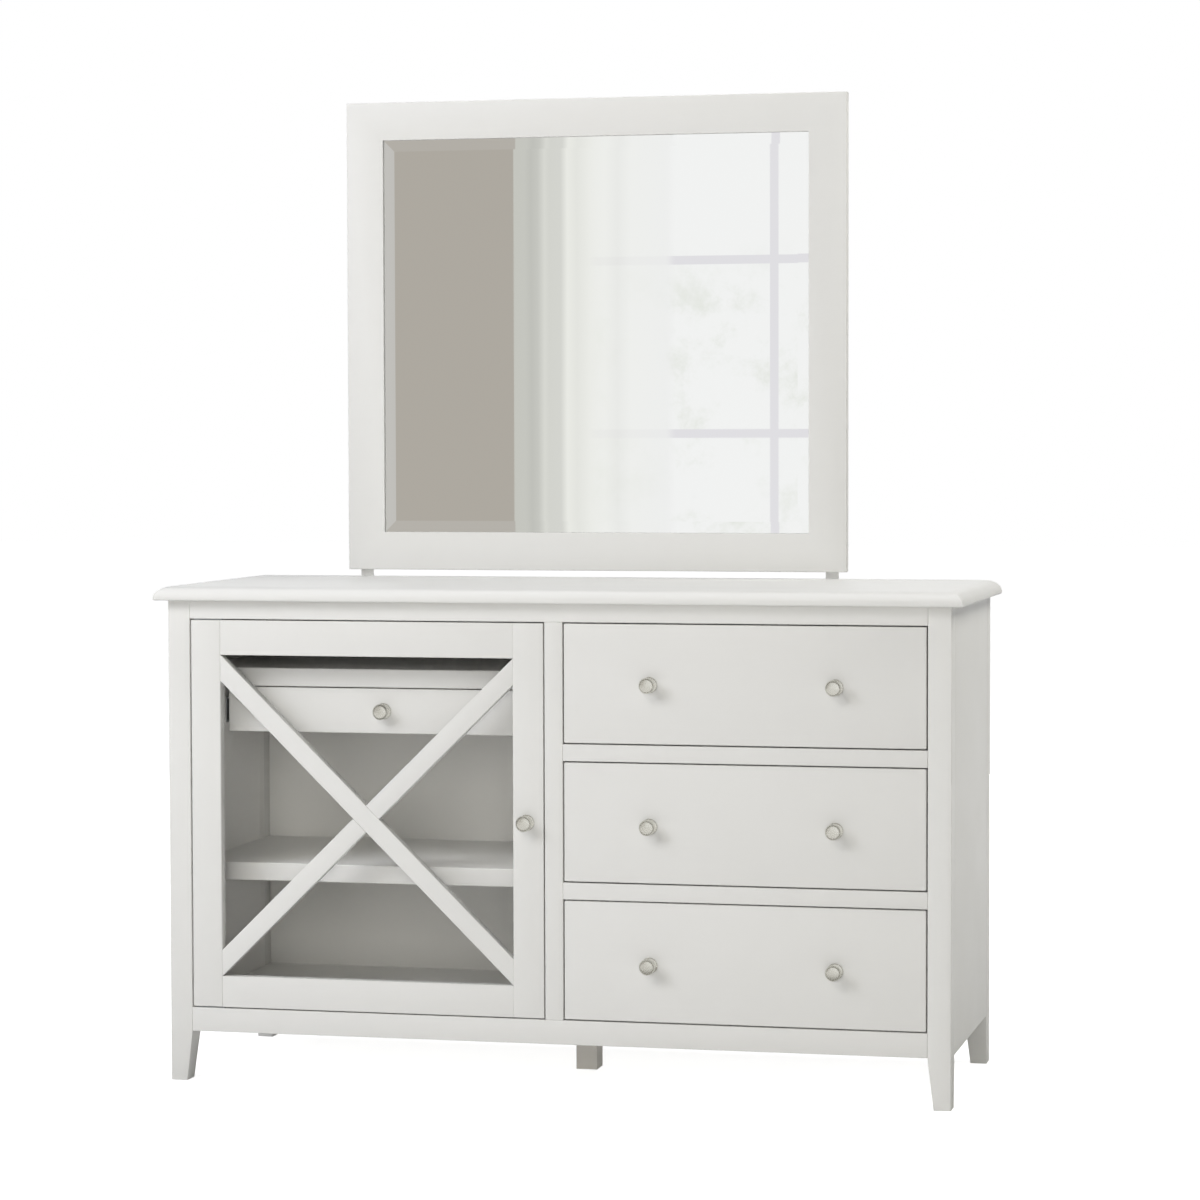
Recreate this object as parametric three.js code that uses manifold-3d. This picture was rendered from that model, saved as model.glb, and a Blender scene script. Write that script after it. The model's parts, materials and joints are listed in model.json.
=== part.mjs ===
// A painted dresser with an inset cross-braced door, large drawers and a framed mirror.
// Lengths are millimetres. X runs right, Y runs back, Z runs up. The front frame lies at y = 0
// and the left side of the case at x = 0 until the last group moves the origin.

import * as THREE from 'three';
import { mergeVertices } from 'three/addons/utils/BufferGeometryUtils.js';
import Module from 'manifold-3d';

const wasm = await Module();
wasm.setup();

// Driving sizes of the case
const caseWidth = 1380;
const caseDepth = 508;
const caseHeight = 846;
const floorGap = 88;
const topThickness = 25;
const topOverhang = 21;

// Driving sizes of the front frame
const legWidth = 40;
const legDepth = 44;
const bottomRailHeight = 42;
const topRailHeight = 32;
const drawerRailHeight = 29;
const centreStileWidth = 32;
const doorOpeningWidth = 640;
const railThickness = 24;
const frontThickness = 20;
const reveal = 2.2;
const drawerCount = 3;

// Driving sizes of the boards inside the case
const sidePanelThickness = 18;
const bottomBoardThickness = 18;
const bottomBoardRise = 6.5;
const backPanelThickness = 5;
const backPanelInset = 7;
const backRailHeight = 70;
const backRailThickness = 18;

// Driving sizes of the mirror
const mirrorWidth = 942;
const mirrorHeight = 867;
const mirrorGap = 12.5;
const mirrorShift = 39.5;
const mirrorBoardWidth = 70;
const mirrorBoardThickness = 20;

// Clearances and small shared sizes
const fit = 0.3;
const boardEase = 0.6;
const frontEase = 1.2;
const overrun = 5;
const sunk = 0.5;

// Places worked out from the driving sizes
const openingBottom = floorGap + bottomRailHeight;
const openingTop = caseHeight - topRailHeight;
const doorOpeningLeft = legWidth;
const doorOpeningRight = doorOpeningLeft + doorOpeningWidth;
const drawerOpeningLeft = doorOpeningRight + centreStileWidth;
const drawerOpeningRight = caseWidth - legWidth;
const railsBetween = drawerCount - 1;
const drawerOpeningHeight = (openingTop - openingBottom - railsBetween * drawerRailHeight) / drawerCount;
const bottomBoardTop = openingBottom + bottomBoardRise;
const bottomBoardUnder = bottomBoardTop - bottomBoardThickness;
const innerLeft = sidePanelThickness;
const innerRight = caseWidth - sidePanelThickness;
const backPanelFront = caseDepth - backPanelInset - backPanelThickness;
const backRailBottom = caseHeight - backRailHeight;

// Materials
function material(color, roughness, metalness) {
  return new THREE.MeshStandardMaterial({ color, roughness, metalness, flatShading: true });
}

const paint = { color: 0xe9e9e4, roughness: 0.45, metalness: 0 };
const materials = {
  paintedWood: () => material(paint.color, paint.roughness, paint.metalness),
  hardboard: () => material(0xdcdad2, 0.7, 0),
  drawerWood: () => material(0xe0dccf, 0.6, 0),
  satinNickel: () => material(0xb9b6a8, 0.32, 1),
  zincSteel: () => material(0xb4b8bb, 0.4, 1),
  whiteSteel: () => material(0xf0f0ec, 0.5, 0.1),
  magnetBody: () => material(0xd8d8d4, 0.6, 0),
  mirrorGlass: () => material(0xdfe6e6, 0.03, 1),
};

// Geometry helpers
function plain(geometry) {
  const bare = geometry.clone();
  bare.deleteAttribute('normal');
  bare.deleteAttribute('uv');
  bare.clearGroups();
  return mergeVertices(bare);
}

function toSolid(geometry) {
  const bare = plain(geometry);
  const vertProperties = new Float32Array(bare.attributes.position.array);
  const triVerts = new Uint32Array(bare.index.array);
  return new wasm.Manifold(new wasm.Mesh({ numProp: 3, vertProperties, triVerts }));
}

function toGeometry(solid) {
  const mesh = solid.getMesh();
  const geometry = new THREE.BufferGeometry();
  geometry.setAttribute('position', new THREE.BufferAttribute(new Float32Array(mesh.vertProperties), 3));
  geometry.setIndex(new THREE.BufferAttribute(new Uint32Array(mesh.triVerts), 1));
  return geometry;
}

function cut(geometry, ...cutters) {
  const left = cutters.reduce((solid, cutter) => solid.subtract(toSolid(cutter)), toSolid(geometry));
  return toGeometry(left);
}

function common(geometry, ...others) {
  return toGeometry(others.reduce((solid, other) => solid.intersect(toSolid(other)), toSolid(geometry)));
}

function joined(geometry, ...others) {
  return toGeometry(others.reduce((solid, other) => solid.add(toSolid(other)), toSolid(geometry)));
}

function mirroredX(geometry) {
  const flipped = plain(geometry);
  flipped.scale(-1, 1, 1);
  const index = flipped.index;
  for (let corner = 0; corner < index.count; corner += 3) {
    const kept = index.getX(corner);
    index.setX(corner, index.getX(corner + 1));
    index.setX(corner + 1, kept);
  }
  return flipped;
}

const axisX = new THREE.Vector3(1, 0, 0);
const axisY = new THREE.Vector3(0, 1, 0);
const axisZ = new THREE.Vector3(0, 0, 1);
const alongX = new THREE.Matrix4().makeBasis(axisY, axisZ, axisX);
const alongY = new THREE.Matrix4().makeBasis(axisX, axisZ, axisY.clone().negate());

function shapeOf(points) {
  return new THREE.Shape(points.map(([across, up]) => new THREE.Vector2(across, up)));
}

function rectangle(width, height) {
  return [[0, 0], [width, 0], [width, height], [0, height]];
}

// An outline of (y, z) pairs drawn out towards +X
function drawnAlongX(shape, length, curveSegments) {
  const settings = { depth: length, bevelEnabled: false, curveSegments };
  return new THREE.ExtrudeGeometry(shape, settings).applyMatrix4(alongX);
}

// An outline of (x, z) pairs drawn out towards +Y
function drawnAlongY(shape, length, curveSegments) {
  const settings = { depth: length, bevelEnabled: false, curveSegments };
  return new THREE.ExtrudeGeometry(shape, settings).applyMatrix4(alongY).translate(0, length, 0);
}

// An outline of (x, y) pairs drawn out towards +Z
function drawnAlongZ(shape, length) {
  return new THREE.ExtrudeGeometry(shape, { depth: length, bevelEnabled: false });
}

function easedRectangle(width, depth, ease) {
  return shapeOf([
    [ease, 0], [width - ease, 0], [width, ease], [width, depth - ease],
    [width - ease, depth], [ease, depth], [0, depth - ease], [0, ease],
  ]);
}

// A board with every edge eased, its low corner at the origin
function board(width, depth, height, ease = boardEase) {
  const bevel = { bevelThickness: ease, bevelSize: ease, bevelOffset: -ease, bevelSegments: 1 };
  const settings = { depth: height - 2 * ease, bevelEnabled: true, ...bevel };
  const shape = easedRectangle(width, depth, ease);
  return new THREE.ExtrudeGeometry(shape, settings).translate(0, 0, ease);
}

function block(width, depth, height) {
  return new THREE.BoxGeometry(width, depth, height).translate(width / 2, depth / 2, height / 2);
}

function rod(radius, length, sides) {
  return new THREE.CylinderGeometry(radius, radius, length, sides);
}

function upright(radius, length, sides) {
  return rod(radius, length, sides).rotateX(Math.PI / 2).translate(0, 0, length / 2);
}

function add(parent, name, geometry, look, x, y, z) {
  const mesh = new THREE.Mesh(plain(geometry), look());
  mesh.name = name;
  mesh.position.set(x, y, z);
  parent.add(mesh);
}

// The top: a moulded edge along the front and both sides, mitred at the corners
const topEdge = { roundWidth: 30, roundHeight: 20.5, underRadius: 4, curveSteps: 8 };

function topBoard() {
  const width = caseWidth + 2 * topOverhang;
  const depth = caseDepth + topOverhang;
  const { roundWidth, roundHeight, underRadius, curveSteps } = topEdge;
  const nose = topThickness - roundHeight;
  const quarter = Math.PI / 2;

  const frontSection = new THREE.Shape();
  frontSection.moveTo(depth, 0);
  frontSection.lineTo(underRadius, 0);
  frontSection.absarc(underRadius, underRadius, underRadius, 3 * quarter, 2 * quarter, true);
  frontSection.absellipse(roundWidth, nose, roundWidth, roundHeight, 2 * quarter, quarter, true);
  frontSection.lineTo(depth, topThickness);

  const sideSection = new THREE.Shape();
  sideSection.moveTo(underRadius, 0);
  sideSection.absarc(underRadius, underRadius, underRadius, 3 * quarter, 2 * quarter, true);
  sideSection.absellipse(roundWidth, nose, roundWidth, roundHeight, 2 * quarter, quarter, true);
  sideSection.absellipse(width - roundWidth, nose, roundWidth, roundHeight, quarter, 0, true);
  sideSection.absarc(width - underRadius, underRadius, underRadius, 0, -quarter, true);

  const lengthwise = drawnAlongX(frontSection, width, curveSteps);
  const crosswise = drawnAlongY(sideSection, depth, curveSteps);
  return common(lengthwise, crosswise);
}

// A leg, outer corner at the origin: straight outside, tapered inside below the rails.
// Above the bottom board it is rebated to the front frame and the side panel.
const foot = { width: 29.5, depth: 37 };
const legEase = 1;

function taperedOutline(topWidth, footWidth) {
  return shapeOf([[0, 0], [footWidth, 0], [topWidth, floorGap], [topWidth, caseHeight], [0, caseHeight]]);
}

function leg(rebateStart) {
  const frontView = drawnAlongY(taperedOutline(legWidth, foot.width), legDepth);
  const sideView = drawnAlongX(taperedOutline(legDepth, foot.depth), legWidth);
  const plan = drawnAlongZ(easedRectangle(legWidth, legDepth, legEase), caseHeight);
  const rebate = block(legWidth, legDepth + 2 * overrun, caseHeight)
    .translate(sidePanelThickness, rebateStart, bottomBoardUnder);
  return cut(common(frontView, sideView, plan), rebate);
}

function addLegs(parent) {
  const frontLeg = leg(railThickness);
  const backLeg = leg(-overrun);
  add(parent, 'leg_front_left', frontLeg, materials.paintedWood, 0, 0, 0);
  add(parent, 'leg_front_right', mirroredX(frontLeg), materials.paintedWood, caseWidth, 0, 0);
  const turned = backLeg.clone().rotateZ(Math.PI);
  add(parent, 'leg_back_left', mirroredX(turned), materials.paintedWood, 0, caseDepth, 0);
  add(parent, 'leg_back_right', turned, materials.paintedWood, caseWidth, caseDepth, 0);
}

// The middle foot, set back under the bottom board
const centreFoot = { width: 38, depth: 44, setBack: 260 };

function addCentreFoot(parent) {
  const geometry = board(centreFoot.width, centreFoot.depth, bottomBoardUnder, legEase);
  const left = (caseWidth - centreFoot.width) / 2;
  add(parent, 'centre_foot', geometry, materials.paintedWood, left, centreFoot.setBack, 0);
}

// The rails and stiles of the front frame
function drawerOpeningBottom(row) {
  return openingTop - drawerOpeningHeight - row * (drawerOpeningHeight + drawerRailHeight);
}

function addFrontFrame(parent) {
  const wood = materials.paintedWood;
  const frameWidth = caseWidth - 2 * legWidth;
  const topRail = board(frameWidth, railThickness, topRailHeight);
  const bottomRail = board(frameWidth, railThickness, bottomRailHeight);
  add(parent, 'top_rail', topRail, wood, legWidth, 0, openingTop);
  add(parent, 'bottom_rail', bottomRail, wood, legWidth, 0, floorGap);
  const stile = board(centreStileWidth, railThickness, openingTop - openingBottom);
  add(parent, 'centre_stile', stile, wood, doorOpeningRight, 0, openingBottom);
  const railWidth = drawerOpeningRight - drawerOpeningLeft;
  for (let row = 0; row < railsBetween; row += 1) {
    const rail = board(railWidth, railThickness, drawerRailHeight);
    const bottom = drawerOpeningBottom(row) - drawerRailHeight;
    add(parent, `drawer_rail_${row + 1}`, rail, wood, drawerOpeningLeft, 0, bottom);
  }
}

// The shelf behind the door and the tabs that it lies on, set in the panels beside it
const shelf = {
  top: 379, setBack: 75, boardThickness: 18, nosingHeight: 31.5, nosingThickness: 20,
  sideClearance: 1, backClearance: 6,
};
const shelfTab = { reach: 8, width: 9, height: 4, frontInset: 60, backInset: 60 };

function shelfTabs(wallFace, inward) {
  const { reach, width, height, frontInset, backInset } = shelfTab;
  const bottom = shelf.top - shelf.boardThickness - height;
  const left = inward > 0 ? wallFace - sunk : wallFace - reach;
  const tab = block(reach + sunk, width, height);
  const places = [shelf.setBack + frontInset, backPanelFront - backInset - width];
  return places.map((y) => tab.clone().translate(left, y, bottom));
}

// The panel beside the drawers also carries the packers behind their slides
const packer = { height: 60, endGap: 12 };

function slidePackers() {
  const thickness = innerRight - drawerOpeningRight;
  const length = backPanelFront - packer.endGap - railThickness;
  const key = block(2 * sunk, caseDepth - 2 * legDepth - 2 * sunk, packer.height - 2 * sunk);
  const packers = [];
  for (let row = 0; row < drawerCount; row += 1) {
    const low = slideHeightOf(largeBox(row)) + (slide.height - packer.height) / 2;
    const strip = board(thickness, length, packer.height);
    packers.push(strip.translate(drawerOpeningRight, railThickness, low));
    packers.push(key.clone().translate(innerRight - sunk, legDepth + sunk, low + sunk));
  }
  return packers;
}

function addSidePanels(parent) {
  const depth = caseDepth - 2 * legDepth;
  const panel = board(sidePanelThickness, depth, caseHeight - floorGap).translate(0, legDepth, floorGap);
  const right = panel.clone().translate(innerRight, 0, 0);
  const wood = materials.paintedWood;
  add(parent, 'side_panel_left', joined(panel, ...shelfTabs(innerLeft, 1)), wood, 0, 0, 0);
  add(parent, 'side_panel_right', joined(right, ...slidePackers()), wood, 0, 0, 0);
}

// The partition behind the centre stile, notched at the top for the back rail
function addPartition(parent) {
  const notch = caseDepth - backRailThickness;
  const outline = shapeOf([
    [railThickness, bottomBoardTop], [backPanelFront, bottomBoardTop], [backPanelFront, backRailBottom],
    [notch, backRailBottom], [notch, caseHeight], [railThickness, caseHeight],
  ]);
  const panel = drawnAlongX(outline, centreStileWidth).translate(doorOpeningRight, 0, 0);
  const box = innerBox();
  const channel = mirroredX(caseChannel(innerDrawer.slideLength, sunk))
    .translate(doorOpeningRight, box.y + innerDrawer.slideInset, slideHeightOf(box));
  const geometry = joined(panel, channel, ...shelfTabs(doorOpeningRight, -1));
  add(parent, 'centre_partition', geometry, materials.paintedWood, 0, 0, 0);
}

function addCaseBoards(parent) {
  const innerWidth = innerRight - innerLeft;
  const wood = materials.paintedWood;
  const bottom = board(innerWidth, backPanelFront - railThickness, bottomBoardThickness);
  add(parent, 'bottom_board', bottom, wood, innerLeft, railThickness, bottomBoardUnder);
  const back = board(innerWidth, backPanelThickness, backRailBottom - bottomBoardUnder);
  add(parent, 'back_panel', back, materials.hardboard, innerLeft, backPanelFront, bottomBoardUnder);
  const rail = board(innerWidth, backRailThickness, backRailHeight);
  add(parent, 'back_rail', rail, wood, innerLeft, caseDepth - backRailThickness, backRailBottom);
}

// An L-shaped shelf: a board with a deeper nosing along its front edge, drawn in (y, z)
function nosedShelf(length, depth, boardThickness, nosingHeight, nosingThickness, ease) {
  const step = nosingHeight - boardThickness;
  const outline = shapeOf([
    [0, ease], [ease, 0], [nosingThickness, 0], [nosingThickness, step], [depth, step],
    [depth, nosingHeight], [ease, nosingHeight], [0, nosingHeight - ease],
  ]);
  return drawnAlongX(outline, length);
}

function addShelf(parent) {
  const { top, setBack, boardThickness, nosingHeight, nosingThickness } = shelf;
  const { sideClearance, backClearance } = shelf;
  const length = doorOpeningRight - innerLeft - 2 * sideClearance;
  const depth = backPanelFront - backClearance - setBack;
  const geometry = nosedShelf(length, depth, boardThickness, nosingHeight, nosingThickness, frontEase);
  const left = innerLeft + sideClearance;
  add(parent, 'adjustable_shelf', geometry, materials.paintedWood, left, setBack, top - nosingHeight);
}

// Telescopic slides: a channel on the case and a narrower one on the drawer
const slide = { gap: 13, height: 45, wall: 1.5, reach: 12, backGap: 1 };

function caseChannel(length, behind = 0) {
  const { height, wall, reach } = slide;
  const outline = shapeOf([
    [-behind, 0], [reach, 0], [reach, wall], [wall, wall],
    [wall, height - wall], [reach, height - wall], [reach, height], [-behind, height],
  ]);
  return drawnAlongY(outline, length);
}

function drawerChannel(length) {
  const { gap, height, wall, backGap } = slide;
  const low = wall + fit;
  const high = height - low;
  const tip = wall + backGap;
  const outline = shapeOf([
    [gap + sunk, low], [gap + sunk, high], [tip, high], [tip, high - wall],
    [gap - wall, high - wall], [gap - wall, low + wall], [tip, low + wall], [tip, low],
  ]);
  return drawnAlongY(outline, length);
}

// Drawers: one set of sizes for the large ones and one for the drawer behind the door
const largeDrawer = { boxDepth: 430, boxHeight: 150, lift: 14, slideLength: 400, slideInset: 5 };
const innerDrawer = {
  setBack: 60, left: 90, frontOverhang: 7, frontThickness: 18, frontHeight: 78.5, boxDepth: 352,
  boxHeight: 58, lift: 7, slideLength: 330, slideInset: 6,
};
const innerShelf = {
  boardThickness: 18, nosingHeight: 32, nosingThickness: 20, aboveDrawer: 2, fromTop: 120.5,
};
const drawerBox = { sideThickness: 12, bottomThickness: 6, grooveDepth: 6, grooveLift: 12 };

// Two sides and a back in one, grooved for the bottom, with a slide on each side
function boxBoards(box, slideLength, slideInset) {
  const { sideThickness, bottomThickness, grooveDepth, grooveLift } = drawerBox;
  const { width, depth, height } = box;
  const grooveTop = grooveLift + bottomThickness + 2 * fit;
  const innerWidth = width - 2 * sideThickness;
  const hollow = block(innerWidth, depth + overrun - sideThickness, height + 2 * overrun)
    .translate(sideThickness, -overrun, -overrun);
  const underBack = block(innerWidth, depth + 2 * overrun, grooveTop + overrun)
    .translate(sideThickness, -overrun, -overrun);
  const groove = block(innerWidth + 2 * grooveDepth, depth + 2 * overrun, grooveTop - grooveLift)
    .translate(sideThickness - grooveDepth, -overrun, grooveLift);
  const boards = cut(block(width, depth, height), hollow, underBack, groove);
  const channel = drawerChannel(slideLength);
  channel.translate(-slide.gap, slideInset, slideHeightOf(box) - box.z);
  return joined(boards, channel, mirroredX(channel).translate(width, 0, 0));
}

function boxBottom(width, depth) {
  const { sideThickness, bottomThickness, grooveDepth } = drawerBox;
  const margin = sideThickness - grooveDepth + fit;
  return block(width - 2 * margin, depth, bottomThickness).translate(margin, 0, 0);
}

function addDrawerBox(parent, name, box, slideLength, slideInset) {
  const boards = boxBoards(box, slideLength, slideInset);
  const bottom = boxBottom(box.width, box.depth);
  const bottomHeight = box.z + drawerBox.grooveLift + fit;
  add(parent, `${name}_box`, boards, materials.drawerWood, box.x, box.y, box.z);
  add(parent, `${name}_bottom`, bottom, materials.hardboard, box.x, box.y, bottomHeight);
}

function slideHeightOf(box) {
  return box.z + (box.height - slide.height) / 2;
}

function largeBox(row) {
  const x = drawerOpeningLeft + slide.gap;
  const width = drawerOpeningRight - slide.gap - x;
  const z = drawerOpeningBottom(row) + largeDrawer.lift;
  return { x, y: frontThickness, z, width, depth: largeDrawer.boxDepth, height: largeDrawer.boxHeight };
}

function innerBox() {
  const right = doorOpeningRight - slide.gap;
  const y = innerDrawer.setBack + innerDrawer.frontThickness;
  const z = innerFrontBottom() + innerDrawer.lift;
  const width = right - innerDrawer.left;
  return { x: innerDrawer.left, y, z, width, depth: innerDrawer.boxDepth, height: innerDrawer.boxHeight };
}

function innerShelfTop() {
  return caseHeight - innerShelf.fromTop;
}

function innerFrontTop() {
  return innerShelfTop() - innerShelf.nosingHeight - innerShelf.aboveDrawer;
}

function innerFrontBottom() {
  return innerFrontTop() - innerDrawer.frontHeight;
}

// Round knobs: a rosette, a waisted neck and a head with a rounded rim, turned about the y axis
const knob = {
  rosetteRadius: 14, rosetteThickness: 2.6, neckRadius: 6.5, neckLength: 11.5, headRadius: 13.7,
  headThickness: 5, rimWidth: 3.2, rimHeight: 5.6, projection: 26, sides: 32, curveSteps: 5,
};
const knobSpacing = 320;
const knobsLeftOfMiddle = 2.5;
const knobsUnderMiddle = [1, 5, 5];
const innerKnobLeftOfMiddle = 7;
const doorKnobOffset = { left: 3, down: 3 };

function knobGeometry() {
  const { rosetteRadius, rosetteThickness, neckRadius, neckLength, projection } = knob;
  const { headRadius, headThickness, rimWidth, rimHeight } = knob;
  const headBack = rosetteThickness + neckLength;
  const rim = headBack + headThickness;
  const quarter = Math.PI / 2;
  const profile = [[0, 0], [rosetteRadius, 0], [rosetteRadius, rosetteThickness / 2]];
  profile.push([rosetteRadius - rosetteThickness / 2, rosetteThickness]);
  profile.push([neckRadius, rosetteThickness + neckLength / 4], [neckRadius, headBack - neckLength / 3]);
  for (let step = 0; step <= knob.curveSteps; step += 1) {
    const turn = quarter * step / knob.curveSteps;
    const radius = neckRadius + (headRadius - neckRadius) * Math.sin(turn);
    profile.push([radius, rim - headThickness * Math.cos(turn)]);
  }
  for (let step = 1; step <= knob.curveSteps; step += 1) {
    const turn = quarter * step / knob.curveSteps;
    profile.push([headRadius - rimWidth * (1 - Math.cos(turn)), rim + rimHeight * Math.sin(turn)]);
  }
  profile.push([0, projection]);
  const points = profile.map(([radius, out]) => new THREE.Vector2(radius, out));
  return toGeometry(toSolid(new THREE.LatheGeometry(points, knob.sides).rotateX(Math.PI)));
}

function addLargeDrawer(parent, row) {
  const name = `drawer_${row + 1}`;
  const width = drawerOpeningRight - drawerOpeningLeft - 2 * reveal;
  const height = drawerOpeningHeight - 2 * reveal;
  const left = drawerOpeningLeft + reveal;
  const bottom = drawerOpeningBottom(row) + reveal;
  const front = board(width, frontThickness, height, frontEase);
  add(parent, `${name}_front`, front, materials.paintedWood, left, 0, bottom);

  addDrawerBox(parent, name, largeBox(row), largeDrawer.slideLength, largeDrawer.slideInset);

  const middle = left + width / 2 - knobsLeftOfMiddle;
  const knobHeight = bottom + height / 2 - knobsUnderMiddle[row];
  const turned = knobGeometry();
  const nickel = materials.satinNickel;
  add(parent, `${name}_knob_left`, turned, nickel, middle - knobSpacing / 2, 0, knobHeight);
  add(parent, `${name}_knob_right`, turned, nickel, middle + knobSpacing / 2, 0, knobHeight);
}

function addInnerDrawer(parent) {
  const box = innerBox();
  const width = box.width + innerDrawer.frontOverhang;
  const front = board(width, innerDrawer.frontThickness, innerDrawer.frontHeight, boardEase);
  const y = innerDrawer.setBack;
  add(parent, 'inner_drawer_front', front, materials.paintedWood, box.x, y, innerFrontBottom());
  addDrawerBox(parent, 'inner_drawer', box, innerDrawer.slideLength, innerDrawer.slideInset);
  const middle = box.x + width / 2 - innerKnobLeftOfMiddle;
  const height = innerFrontBottom() + innerDrawer.frontHeight / 2;
  add(parent, 'inner_drawer_knob', knobGeometry(), materials.satinNickel, middle, y, height);
}

// The case's halves of the slides for the large drawers
function addCaseSlides(parent) {
  const channel = caseChannel(largeDrawer.slideLength);
  const opposite = mirroredX(channel);
  const steel = materials.zincSteel;
  for (let row = 0; row < drawerCount; row += 1) {
    const box = largeBox(row);
    const y = box.y + largeDrawer.slideInset;
    const z = slideHeightOf(box);
    add(parent, `slide_${row + 1}_left`, channel, steel, drawerOpeningLeft, y, z);
    add(parent, `slide_${row + 1}_right`, opposite, steel, drawerOpeningRight, y, z);
  }
}

// The shelf over the inner drawer, and the board hung from it that carries one slide
const hanger = { thickness: 18, below: 4, length: 360 };

function addInnerShelf(parent) {
  const { boardThickness, nosingHeight, nosingThickness } = innerShelf;
  const top = innerShelfTop();
  const length = doorOpeningRight - innerLeft;
  const depth = backPanelFront - innerDrawer.setBack;
  const geometry = nosedShelf(length, depth, boardThickness, nosingHeight, nosingThickness, frontEase);
  const wood = materials.paintedWood;
  add(parent, 'fixed_shelf', geometry, wood, innerLeft, innerDrawer.setBack, top - nosingHeight);
  const box = innerBox();
  const bottom = slideHeightOf(box) - hanger.below;
  const under = top - boardThickness;
  const left = box.x - slide.gap - hanger.thickness;
  const start = innerDrawer.setBack + nosingThickness;
  const panel = board(hanger.thickness, hanger.length, under - bottom);
  const channel = caseChannel(innerDrawer.slideLength, sunk)
    .translate(hanger.thickness, box.y + innerDrawer.slideInset - start, hanger.below);
  add(parent, 'drawer_hanger', joined(panel, channel), wood, left, start, bottom);
}

// The door: stiles, rails and two bars that cross in a half lap
const door = { stileWidth: 53.8, topRailHeight: 60.8, bottomRailHeight: 54.8, barWidth: 32.5 };

function doorSpan() {
  const left = doorOpeningLeft + reveal;
  const right = doorOpeningRight - reveal;
  const bottom = openingBottom + reveal;
  const top = openingTop - reveal;
  return { left, right, bottom, top };
}

// The outline of the bar that falls from the top left corner to the bottom right one, as (x, z)
function barOutline(width, height, growth) {
  const diagonal = Math.hypot(width, height);
  const slope = Math.acos(door.barWidth / diagonal) - Math.atan2(width, height);
  const depth = door.barWidth / Math.cos(slope);
  const extra = growth / Math.cos(slope);
  return shapeOf([
    [0, height - depth - extra], [width, 0 - extra],
    [width, depth + extra], [0, height + extra],
  ]);
}

function addDoorBars(parent) {
  const span = doorSpan();
  const width = span.right - span.left - 2 * door.stileWidth;
  const height = span.top - span.bottom - door.bottomRailHeight - door.topRailHeight;
  const thickness = frontThickness;
  const x = span.left + door.stileWidth;
  const z = span.bottom + door.bottomRailHeight;
  const falling = (growth, depth) => drawnAlongY(barOutline(width, height, growth), depth);
  const rising = (growth, depth) => mirroredX(falling(growth, depth)).translate(width, 0, 0);
  const backNotch = rising(fit, thickness).translate(0, thickness / 2, 0);
  const frontNotch = falling(fit, thickness).translate(0, fit - thickness / 2, 0);
  const through = cut(falling(0, thickness), backNotch);
  const lapped = cut(rising(0, thickness), frontNotch);
  add(parent, 'door_bar_through', through, materials.paintedWood, x, 0, z);
  add(parent, 'door_bar_lapped', lapped, materials.paintedWood, x, 0, z);
}

// Pivot hinges in the reveals above and below the door: a plate with a collar and a pin
const pivot = {
  inset: 10, setBack: 6, pinRadius: 2.5, pinLength: 12, runningFit: 0.1, endFloat: 0.1,
  collarRadius: 4.5, sides: 16, plateLength: 52, plateWidth: 10, plateThickness: 1.3,
};
const catchBody = { width: 22, depth: 14, height: 46, strikeGap: 1.8 };

function addHinges(parent) {
  const { inset, setBack, sides, plateLength, plateWidth, plateThickness } = pivot;
  const half = plateWidth / 2;
  const plate = board(plateLength, plateWidth, plateThickness, fit).translate(-half, -half, 0);
  const collar = upright(pivot.collarRadius, reveal - pivot.endFloat, sides);
  const pin = upright(pivot.pinRadius, reveal + pivot.pinLength, sides);
  const lower = joined(plate, collar, pin);
  const upper = lower.clone().rotateX(Math.PI);
  const x = doorSpan().left + inset;
  add(parent, 'hinge_lower', lower, materials.zincSteel, x, setBack, openingBottom);
  add(parent, 'hinge_upper', upper, materials.zincSteel, x, setBack, openingTop);
}

// A magnetic catch in the corner between the centre stile and the partition
function addCatch(parent) {
  const { width, depth, height, strikeGap } = catchBody;
  const bottom = (openingBottom + openingTop - height) / 2;
  const geometry = board(width, depth, height);
  const y = frontThickness + strikeGap;
  add(parent, 'door_catch', geometry, materials.magnetBody, doorOpeningRight - width, y, bottom);
}

function addDoorFrame(parent) {
  const span = doorSpan();
  const height = span.top - span.bottom;
  const railLength = span.right - span.left - 2 * door.stileWidth;
  const railLeft = span.left + door.stileWidth;
  const holeDepth = pivot.pinLength + fit;
  const bore = upright(pivot.pinRadius + pivot.runningFit, 2 * holeDepth, pivot.sides);
  bore.translate(pivot.inset, pivot.setBack, -holeDepth);
  const holes = [0, height].map((z) => bore.clone().translate(0, 0, z));
  const stile = board(door.stileWidth, frontThickness, height, frontEase);
  const lowerRail = board(railLength, frontThickness, door.bottomRailHeight, frontEase);
  const upperRail = board(railLength, frontThickness, door.topRailHeight, frontEase);
  const wood = materials.paintedWood;
  add(parent, 'door_stile_left', cut(stile, ...holes), wood, span.left, 0, span.bottom);
  add(parent, 'door_stile_right', stile, wood, span.right - door.stileWidth, 0, span.bottom);
  add(parent, 'door_rail_bottom', lowerRail, wood, railLeft, 0, span.bottom);
  add(parent, 'door_rail_top', upperRail, wood, railLeft, 0, span.top - door.topRailHeight);
  const x = span.right - door.stileWidth / 2 - doorKnobOffset.left;
  const z = span.bottom + height / 2 - doorKnobOffset.down;
  add(parent, 'door_knob', knobGeometry(), materials.satinNickel, x, 0, z);
}

// The mirror: a flat frame with a pocket behind for the glass and its back
const mirror = {
  lip: 5, lapWidth: 10, glassThickness: 5, bevelWidth: 21, bevelDrop: 0.6, backThickness: 3,
};
const strap = { width: 24, thickness: 3, below: 70, above: 420 };

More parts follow.
